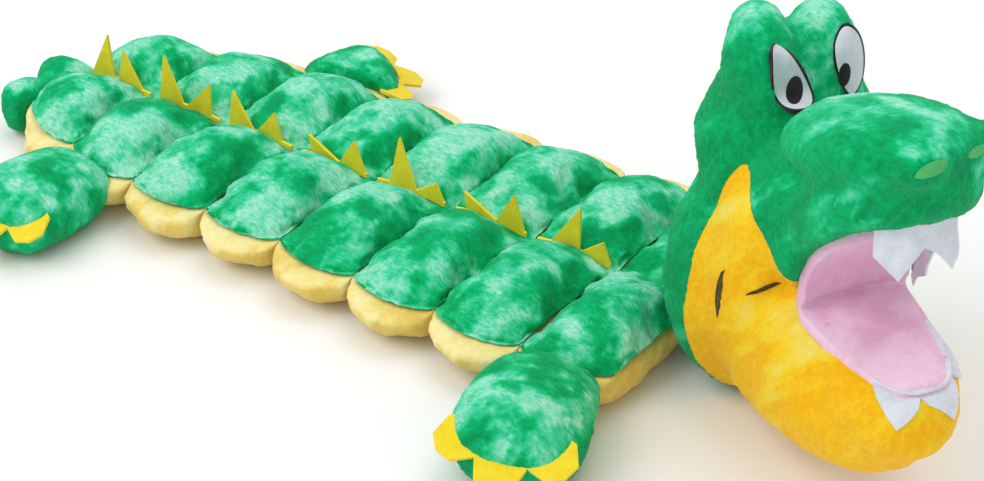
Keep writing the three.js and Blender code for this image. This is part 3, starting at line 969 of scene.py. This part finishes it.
# Side outlines, forward and up in millimetres: what is cut away, the palate, and where the golden plush lies.
MOUTH_CUT = (
    (98, 120), (99, 134), (106, 152), (121, 171), (142, 188), (164, 201), (285, 330), (500, 349), (500, 74),
    (160, 108.5), (103, 113.5),
)
PALATE = ((103, 118), (104, 134), (110, 149), (124, 167), (144, 183), (163, 195))
CHEST_CUT = ((-200, -60), (2, -60), (2, 52), (-200, 106))
GOLD = (
    (48, 176), (60, 168), (71, 158), (80, 149), (88, 140), (95, 133), (104, 128), (130, 132), (175, 147),
    (260, 184), (320, 100), (320, -60), (20, -60), (22, 0), (24, 30), (26, 60), (29, 90), (30, 125), (36, 152),
    (42, 168),
)
# The way that the face looks. Felt outlines on it are left and up in millimetres, on a plane ahead of the neck.
FACING = (0.761, -0.317, 0.566)
FACE_PLANE = 50
FACE_REACH = 300
EYE_RIGHT = (
    (-27, 247), (-19, 239), (-11, 227), (-5, 216), (-3, 208), (-5, 203), (-10, 201.5), (-18, 204), (-24, 212),
    (-27, 224), (-28.5, 238),
)
EYE_LEFT = (
    (12.5, 247), (9, 240), (8.5, 233), (11, 220), (15, 210), (19, 204.5), (22, 204), (26, 209), (28.5, 216),
    (28, 228), (24, 240), (17, 247),
)
NOSTRIL_RIGHT = (
    (28, 145), (31.4, 149.5), (37, 151.5), (45, 152), (46, 147.5), (43.5, 144.6), (37.6, 143), (31.5, 143.5),
)
NOSTRIL_LEFT = ((58, 149), (61, 153), (66, 155), (72, 154), (70, 150), (64, 147.5))
# Felt teeth in millimetres: the strip that joins them, its tuck under the lip, and its stand-off from the lips.
TOOTH_BAND = 6
TOOTH_TUCK = 10
UPPER_LEAN = 3
LOWER_LIFT = 1.3
# Dark stitches on the golden cheek, in the same measures as the felt outlines.
STITCHES = (
    ((-36.5, 92.4), (-30.1, 92.9), (-24.0, 94.2), (-16.0, 95.4)),
    ((-48.8, 113.2), (-49.9, 103.7), (-50.1, 92.2), (-49.2, 78.5)),
)


def skin_tree(piece: bpy.types.Object) -> BVHTree:
    """Make a piece's surface ready for ray casts.

    Args:
        piece: The piece.

    Returns:
        Its search tree.
    """
    corners = [vertex.co.copy() for vertex in piece.data.vertices]
    return BVHTree.FromPolygons(corners, [tuple(polygon.vertices) for polygon in piece.data.polygons])


def rounded(outline: tuple[tuple[float, float], ...]) -> np.ndarray:
    """Round an outline's corners by cutting each twice.

    Args:
        outline: Its points, in order.

    Returns:
        The rounded outline.
    """
    points = np.array(outline, dtype=float)
    for _ in range(2):
        ahead = np.roll(points, -1, axis=0)
        points = np.stack([points * 0.75 + ahead * 0.25, points * 0.25 + ahead * 0.75], axis=1).reshape(-1, 2)
    return points


@dataclass
class Head(StuffedForms):
    """The head: one stuffed skin sewn from green and golden plush, with a pink mouth and felt eyes."""

    turn: float = math.radians(-34)
    fine_voxel: float = 3 * MM
    skin_voxel: float = 4.7 * MM
    roundness: float = 2.8
    lining_drop: float = math.radians(5)
    lining_length: float = 78
    lining_skirt: float = 7
    mouth_width: float = 31.5
    lip_taper: float = 6
    corner: Vector = field(default_factory=Vector)
    origin: Vector = field(default_factory=Vector)
    skin: BVHTree | None = None
    jaw_skin: BVHTree | None = None

    def __post_init__(self) -> None:
        """Find the neck's middle and the mouth's corner from the joints."""
        joints = {joint["name"]: joint for joint in FRAME["joints"]}
        self.origin = Vector(joints["head_turn"]["pos_m"])
        self.corner = Vector(joints["jaw_close"]["pos_m"])

    def place(self, forward: float, left: float, up: float) -> Vector:
        """Turn a place in the head's own frame, in millimetres, into the model's frame.

        Args:
            forward: Distance ahead of the neck.
            left: Distance to the head's left.
            up: Height over the floor.

        Returns:
            The point in metres.
        """
        return self.origin + self.way(forward, left, up) * MM

    def way(self, forward: float, left: float, up: float) -> Vector:
        """Turn a direction in the head's own frame into the model's frame.

        Args:
            forward: Its forward part.
            left: Its part to the head's left.
            up: Its upward part.

        Returns:
            The direction.
        """
        return Matrix.Rotation(self.turn, 3, "Z") @ Vector((forward, left, up))

    def gather_balls(self, name: str, balls: tuple[Ball, ...]) -> bpy.types.Object:
        """Make stuffed balls and join them.

        Args:
            name: The new piece's name.
            balls: The forms.

        Returns:
            One piece of overlapping balls.
        """
        turn = Matrix.Rotation(self.turn, 4, "Z")
        made = []
        for ball in balls:
            bpy.ops.object.select_all(action="DESELECT")
            bpy.ops.mesh.primitive_uv_sphere_add(segments=40, ring_count=24, radius=MM)
            piece = bpy.context.active_object
            tilted = turn @ Matrix.Rotation(-ball.tilt, 4, "Y") @ Matrix.Diagonal((*ball.radii, 1))
            piece.data.transform(Matrix.Translation(self.place(*ball.at)) @ tilted)
            made.append(piece)
        activate(made[0])
        for piece in made:
            piece.select_set(True)
        if len(made) > 1:
            bpy.ops.object.join()
        made[0].name = name
        return made[0]

    def side_prism(self, outline: np.ndarray | tuple[tuple[float, float], ...]) -> bpy.types.Object:
        """Make a block that has one outline all the way across the head.

        Args:
            outline: Forward and up of its corners, in millimetres.

        Returns:
            The block.
        """
        bpy.ops.object.select_all(action="DESELECT")
        bpy.ops.mesh.primitive_circle_add(vertices=len(outline), radius=1, fill_type="NGON")
        block = bpy.context.active_object
        move_points(block, np.array([self.place(x, -HEAD_SIDE, z) for x, z in outline]))
        bpy.ops.object.mode_set(mode="EDIT")
        bpy.ops.mesh.select_all(action="SELECT")
        bpy.ops.mesh.extrude_region_move(TRANSFORM_OT_translate={"value": self.way(0, 2 * HEAD_SIDE * MM, 0)})
        bpy.ops.object.mode_set(mode="OBJECT")
        face_out(block)
        return block

    def cut(self, piece: bpy.types.Object, tool: bpy.types.Object, operation: str = "DIFFERENCE") -> None:
        """Cut a piece with another and throw the tool away.

        Args:
            piece: The piece that stays.
            tool: The cutting piece.
            operation: The kind of cut.
        """
        apply_modifier(piece, "BOOLEAN", object=tool, operation=operation, solver="MANIFOLD")
        bpy.data.objects.remove(tool)

    def build_skin(self) -> None:
        """Stuff the whole head as one skin, raise its pile with a painted highlight on faces that look up and on the
        snout's top, and part it into green and golden plush.
        """
        skin = self.gather_balls("crown_plush", SKULL + THROAT)
        self.soften(skin, self.fine_voxel, 3)
        self.cut(skin, self.side_prism(MOUTH_CUT))
        self.cut(skin, self.side_prism(CHEST_CUT))
        self.cut(skin, self.gather_balls("neck_room", (NECK_ROOM,)))
        self.soften(skin, self.skin_voxel, 3)
        points = points_of(skin)
        points[:, 2] = np.maximum(points[:, 2], 0.8 * MM)
        move_points(skin, points)
        Stuffing(pressure=2.5, slack=0.05, cap=3 * MM).fill(skin, self.resting(skin))
        divide(skin, 2)
        Pile(seed=301, lump=26 * MM, nap=(-0.5, 0.3, -0.7), pale=0.27).raise_on(skin)
        self.paint_snout_highlight(skin)
        chin = skin.copy()
        chin.data = skin.data.copy()
        chin.name = "chin_plush"
        bpy.context.scene.collection.objects.link(chin)
        self.cut(skin, self.side_prism(rounded(GOLD)))
        self.cut(chin, self.side_prism(rounded(GOLD)), "INTERSECT")
        self.skin, self.jaw_skin = skin_tree(skin), skin_tree(chin)
        self.finishes.pad(skin, self.finishes.green, "green_plush", 0.8, ("crown", "collar"))
        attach(skin, "head")
        self.finishes.pad(chin, self.finishes.face, "head_plush", 0.8, ("throat", "jaw"))
        self.follow_jaw(chin)

    def paint_snout_highlight(self, skin: bpy.types.Object) -> None:
        """Paint a highlight on the top of the snout by making its pile paler there.

        Args:
            skin: The head's skin.
        """
        layer = skin.data.attributes["brushed"].data
        values = np.zeros(len(layer))
        layer.foreach_get("value", values)
        away = np.linalg.norm(points_of(skin) - np.array(self.place(88, -18, 232)), axis=1)
        # Painted highlight: paler pile in a soft spot round the snout's top.
        values = np.clip(values + 0.42 * np.exp(-((away / (36 * MM)) ** 2)), 0, 1)
        layer.foreach_set("value", values.astype(np.float32))

    def follow_jaw(self, piece: bpy.types.Object) -> None:
        """Bake a piece's placement into its mesh, left unattached to the head or the jaw.

        Args:
            piece: The piece.
        """
        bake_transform(piece)

    def profile(self, s: float) -> tuple[float, float]:
        """Follow the middle of the lining.

        Args:
            s: Place from the lower lip, at -1, over the crease at 0 to the upper lip, at 1.

        Returns:
            Forward and up, in millimetres.
        """
        path = np.array(PALATE, dtype=float)
        if s > 0:
            steps = np.linspace(0, 1, len(path))
            return float(np.interp(s, steps, path[:, 0])), float(np.interp(s, steps, path[:, 1]))
        reach = -s * self.lining_length
        return path[0][0] + reach * math.cos(self.lining_drop), path[0][1] - reach * math.sin(self.lining_drop)

    def build_teeth(self, name: str, teeth: int, turns: tuple[float, float], height: float, upper: bool) -> None:
        """Cut a zigzag of felt teeth and lay it round a lip.

        Args:
            name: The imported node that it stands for.
            teeth: How many teeth.
            turns: Where round the lip it starts and ends, in degrees from the front.
            height: Length of a tooth, in millimetres.
            upper: Whether the teeth hang free from the upper lip or lie over the lower one.
        """
        piece = add_grid(f"{name}_felt", teeth * 10, 8)
        places = []
        for a, b in points_of(piece)[:, :2]:
            share, depth = (a + 1) / 2, (b + 1) / 2
            turn = math.radians(turns[0] + (turns[1] - turns[0]) * share)
            s = 0.97 * abs(math.cos(turn)) ** (2 / self.roundness) * (1 if upper else -1)
            half = self.mouth_width + 1 - (0 if upper else self.lip_taper)
            side = math.copysign(abs(math.sin(turn)) ** (2 / self.roundness), turn) * half
            forward, up = self.profile(s)
            long = TOOTH_BAND + (height - TOOTH_BAND) * (1 - abs(2 * (share * teeth % 1) - 1))
            out = np.array([math.cos(turn), math.sin(turn)])
            if upper:
                drop = -TOOTH_TUCK + depth * (TOOTH_TUCK + long)
                lean = UPPER_LEAN + 0.16 * max(drop, 0)
                places.append(self.place(forward + out[0] * lean + drop * 0.12, side + out[1] * lean, up - drop))
                continue
            drop = depth * long
            start = self.place(forward + out[0] * 2, side + out[1] * 2, up - 1.5)
            if drop > 2:
                start = self.place(forward + out[0] * 1.5, side + out[1] * 1.5, up + 0.6 - drop)
                outward = self.way(out[0], out[1], 0.25).normalized()
                spot = self.jaw_skin.ray_cast(start + outward * 30 * MM, -outward)[0]
                start = start if spot is None else spot + outward * LOWER_LIFT * MM
            places.append(start)
        move_points(piece, np.array(places))
        apply_modifier(piece, "SOLIDIFY", thickness=1.5 * MM, offset=0)
        self.finishes.dress(piece, self.finishes.white)
        activate(piece)
        bpy.ops.object.shade_smooth_by_angle(angle=math.radians(40))
        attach(piece, "head" if upper else "jaw")
        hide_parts(name)

    def mouth_point(self, s: float, v: float) -> Vector:
        """One point of the mouth's lining.

        Args:
            s: Place from the lower lip, at -1, over the crease at 0 to the upper lip, at 1.
            v: Place across, -1 at the right and 1 at the left.

        Returns:
            The point.
        """
        power = self.roundness
        half = (self.mouth_width - self.lip_taper * abs(min(s, 0))) * (1 - min(abs(s), 1) ** power) ** (1 / power)
        forward, up = self.profile(s)
        out = np.array([0, -1]) if s <= 0 else np.array([-0.72, 0.69]) if s > 0.3 else np.array([-1, 0.1])
        web = 4 * abs(v) ** 3 * math.exp(-((s / 0.3) ** 2))
        forward, up = forward + web - 3.2 * math.exp(-((s / 0.05) ** 2)), up - (3 * v * v if s < 0 else 0)
        skirt = self.lining_skirt if abs(v) > 0.999 or abs(s) > 0.984 else 0
        return self.place(forward + skirt * out[0], v * half, up + skirt * out[1])

    def build_mouth(self) -> None:
        """Make the pink lining: one soft sheet from lip to lip, folded at the mouth's corner."""
        piece = add_grid("mouth_lining", 48, 28)
        grid = points_of(piece)
        move_points(piece, np.array([self.mouth_point(a * 0.985, math.sin(b * math.pi / 2)) for a, b in grid[:, :2]]))
        apply_modifier(piece, "SOLIDIFY", thickness=1.6 * MM, offset=0)
        divide(piece, 1)
        fine = {"tuft": 3 * MM, "height": 0.15 * MM, "clump_height": 0.3 * MM}
        Pile(seed=351, lump=18 * MM, lump_height=0.8 * MM, **fine).raise_on(piece)
        self.finishes.pad(piece, self.finishes.mouth, "pink_lining", 0.8, ("palate", "jaw_lining"))
        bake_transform(piece)

    def form_under(self, outline: np.ndarray) -> Form:
        """Fit a smooth form over the plush under an outline.

        Args:
            outline: Left and up of its edge, in millimetres.

        Returns:
            A function that gives how far the form stands out at each place.
        """
        middle = outline.mean(axis=0)
        spots = np.concatenate([middle + (outline - middle) * share for share in (0.1, 0.35, 0.6, 0.8, 1.0)])
        depth = np.array([self.depth_at(left, up) for left, up in spots])

        def terms(places: np.ndarray) -> np.ndarray:
            """Give the terms of a curved form.

            Args:
                places: Left and up of each place, in millimetres.

            Returns:
                One row of terms for each place.
            """
            y, z = ((places - middle) / 20).T
            return np.stack([np.ones(len(y)), y, z, y * y, y * z, z * z, z * z * z], axis=1)

        factors = np.linalg.lstsq(terms(spots), depth, rcond=None)[0]
        above = max(0.0, float(np.percentile(depth - terms(spots) @ factors, 90)))
        return lambda places: terms(places) @ factors + above

    def build_patch(
        self, name: str, outline: np.ndarray, lift: float, finish: Felt, slot: str, form: Form
    ) -> bpy.types.Object:
        """Lay a piece of felt on the face.

        Args:
            name: The piece's name.
            outline: Left and up of its edge, in millimetres.
            lift: How far it stands off the plush, in millimetres.
            finish: Its felt.
            slot: The record's material slot.
            form: How far the form under it stands out at each place.

        Returns:
            The piece.
        """
        piece = add_grid(name, 26, 26)
        middle = outline.mean(axis=0)
        spokes = outline - middle
        angle, length = np.arctan2(spokes[:, 1], spokes[:, 0]), np.linalg.norm(spokes, axis=1)
        order = np.argsort(angle)
        grid = points_of(piece)[:, :2]
        around = np.arctan2(grid[:, 1], grid[:, 0])
        reach = np.interp(around, angle[order], length[order], period=2 * math.pi) * np.abs(grid).max(axis=1)
        flat = middle + np.stack([np.cos(around), np.sin(around)], axis=1) * reach[:, None]
        depth = form(flat)
        ahead = self.way(*FACING)
        spots = [self.place(FACE_PLANE, left, up) + ahead * (d + lift) * MM for d, (left, up) in zip(depth, flat)]
        move_points(piece, np.array(spots))
        face_out(piece)
        if normals_of(piece)[len(flat) // 2] @ np.array(ahead) < 0:
            piece.data.flip_normals()
        apply_modifier(piece, "SOLIDIFY", thickness=2.5 * MM, offset=-1)
        self.finishes.dress(piece, finish)
        activate(piece)
        bpy.ops.object.shade_smooth_by_angle(angle=math.radians(40))
        if slot == "head_plush":
            self.follow_jaw(piece)
        else:
            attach(piece, "head")
        return piece

    def depth_at(self, left: float, up: float) -> float:
        """How far the plush stands out at one place on the face, along the way that the face looks.

        Args:
            left: Distance to the head's left, in millimetres.
            up: Height, in millimetres.

        Returns:
            The distance from the face's own plane, in millimetres.
        """
        ahead = self.way(*FACING)
        start = self.place(FACE_PLANE, left, up) + ahead * FACE_REACH * MM
        spots = [skin.ray_cast(start, -ahead)[0] for skin in (self.skin, self.jaw_skin)]
        return max((FACE_REACH - (spot - start).length / MM for spot in spots if spot is not None), default=0.0)

    def build_eyes(self) -> None:
        """Make the black-edged felt eyes with their pupils."""
        for side, outline, pupil, half in (
            ("right", EYE_RIGHT, (-13.7, 214.5), (5, 8.5)),
            ("left", EYE_LEFT, (14.8, 217), (3.6, 7)),
        ):
            edge = rounded(outline)
            middle = edge.mean(axis=0)
            length = np.linalg.norm(edge - middle, axis=1, keepdims=True)
            wider = middle + (edge - middle) * (1 + 1.7 / length) + np.array([0.3, 0.5])
            turns = np.linspace(-math.pi, math.pi, 36, endpoint=False)
            disc = np.stack([pupil[0] + half[0] * np.cos(turns), pupil[1] + half[1] * np.sin(turns)], axis=1)
            form = self.form_under(edge)
            white = self.build_patch(f"eye_white_{side}", edge, 1.9, self.finishes.eye, "eye_felt", form)
            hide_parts(f"eye_{side}")
            self.build_patch(f"eye_edge_{side}", wider, 1.3, self.finishes.black, "eye_felt", form)
            self.build_patch(f"pupil_{side}", disc, 2.4, self.finishes.black, "eye_felt", form)

    def build_nostrils(self) -> None:
        """Sew the leaf-shaped nostril tabs on the snout."""
        for side, outline in (("right", NOSTRIL_RIGHT), ("left", NOSTRIL_LEFT)):
            edge = rounded(outline)
            form = self.form_under(edge)
            self.build_patch(f"nostril_{side}", edge, 1.2, self.finishes.nostril, "yellow_felt", form)

    def build_stitches(self) -> None:
        """Sew the dark stitches that gather the golden cheek."""
        for number, path in enumerate(STITCHES, 1):
            line = np.array(path)
            steps = np.linspace(0, len(line) - 1, 60)
            middle = np.stack([np.interp(steps, range(len(line)), line[:, axis]) for axis in (0, 1)], axis=1)
            along = np.gradient(middle, axis=0)
            aside = np.stack([-along[:, 1], along[:, 0]], axis=1) / np.linalg.norm(along, axis=1, keepdims=True)
            width = 1.3 * np.sin(np.linspace(0.15, math.pi - 0.15, len(steps)))[:, None]
            edge = np.concatenate([middle + aside * width, (middle - aside * width)[::-1]])
            form = self.form_under(edge)
            self.build_patch(f"cheek_stitch_{number}", edge, 0.7, self.finishes.thread, "head_plush", form)

    def build(self) -> None:
        """Make the head's pieces."""
        self.build_skin()
        self.build_mouth()
        self.build_teeth("upper_teeth", 4, (-34, 92), 20, True)
        self.build_teeth("lower_teeth", 3, (-44, 74), 22, False)
        self.build_eyes()
        self.build_nostrils()
        self.build_stitches()


@dataclass
class Studio:
    """Pale floor, soft light and the photograph's camera."""

    eye: tuple[float, float, float] = (0.63161, -0.9373, 0.7892)
    target: tuple[float, float, float] = (0.01614, -0.00301, 0.02122)
    roll: float = math.radians(0.126)
    lens: float = 80.49

    def build_camera(self) -> None:
        """Stand the camera where the photograph was taken."""
        data = bpy.data.cameras.new("Camera")
        data.lens = self.lens
        data.sensor_width = 36
        data.clip_end = 20
        camera = bpy.data.objects.new("Camera", data)
        bpy.context.scene.collection.objects.link(camera)
        aim = (Vector(self.target) - Vector(self.eye)).to_track_quat("-Z", "Y").to_matrix()
        turned = aim @ Matrix.Rotation(self.roll, 3, "Z")
        camera.matrix_world = Matrix.Translation(self.eye) @ turned.to_4x4()
        bpy.context.scene.camera = camera

    def build_floor(self) -> None:
        """Lay the pale floor."""
        bpy.ops.object.select_all(action="DESELECT")
        bpy.ops.mesh.primitive_plane_add(size=12)
        floor = bpy.context.active_object
        floor.name = "studio_floor"
        material = bpy.data.materials.new("White_studio_paper")
        material.use_nodes = True
        shader = material.node_tree.nodes["Principled BSDF"]
        shader.inputs["Base Color"].default_value = linear("F6F6F6")
        shader.inputs["Roughness"].default_value = 0.9
        shader.inputs["Specular IOR Level"].default_value = 0.1
        floor.data.materials.append(material)

    def add_light(self, name: str, place: tuple[float, float, float], size: float, power: float) -> None:
        """Hang one soft box that faces the toy.

        Args:
            name: The light's name.
            place: Where it hangs.
            size: Its width.
            power: Its power in watts.
        """
        data = bpy.data.lights.new(name, "AREA")
        data.size = size
        data.energy = power
        light = bpy.data.objects.new(name, data)
        bpy.context.scene.collection.objects.link(light)
        aim = (Vector((0, 0, 0.05)) - Vector(place)).to_track_quat("-Z", "Y")
        light.matrix_world = Matrix.Translation(place) @ aim.to_matrix().to_4x4()

    def build(self) -> None:
        """Set up the studio."""
        self.build_camera()
        self.build_floor()
        world = bpy.data.worlds.new("Studio")
        world.use_nodes = True
        world.node_tree.nodes["Background"].inputs["Color"].default_value = (1, 1, 1, 1)
        world.node_tree.nodes["Background"].inputs["Strength"].default_value = 0.72
        bpy.context.scene.world = world
        bpy.context.scene.view_settings.view_transform = "Standard"
        self.add_light("key_softbox", (-0.9, -1.5, 2.2), 1.6, 26)
        self.add_light("top_softbox", (0.3, 0.6, 2.4), 1.8, 14)


def plain_finish(finishes: Finishes) -> None:
    """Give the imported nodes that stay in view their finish.

    Args:
        finishes: The toy's finishes.
    """
    kinds = {"yellow_felt": finishes.yellow, "squeaker_plastic": finishes.plastic}
    slots = {row["node"]: row["material_slot"] for row in FRAME["record"]["subparts"]}
    for node, piece in FRAME["nodes"].items():
        if slots[node] in kinds and not piece.hide_render:
            finishes.dress(piece, kinds[slots[node]])


def main() -> None:
    """Build the toy and its studio."""
    logging.basicConfig(level=logging.INFO, format="%(message)s")
    studio = Studio()
    studio.build()
    finishes = Finishes()
    QuiltedBody(finishes).build()
    StuffedForms(finishes).build()
    Head(finishes).build()
    plain_finish(finishes)


if __name__ == "__main__":
    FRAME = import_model()
    main()
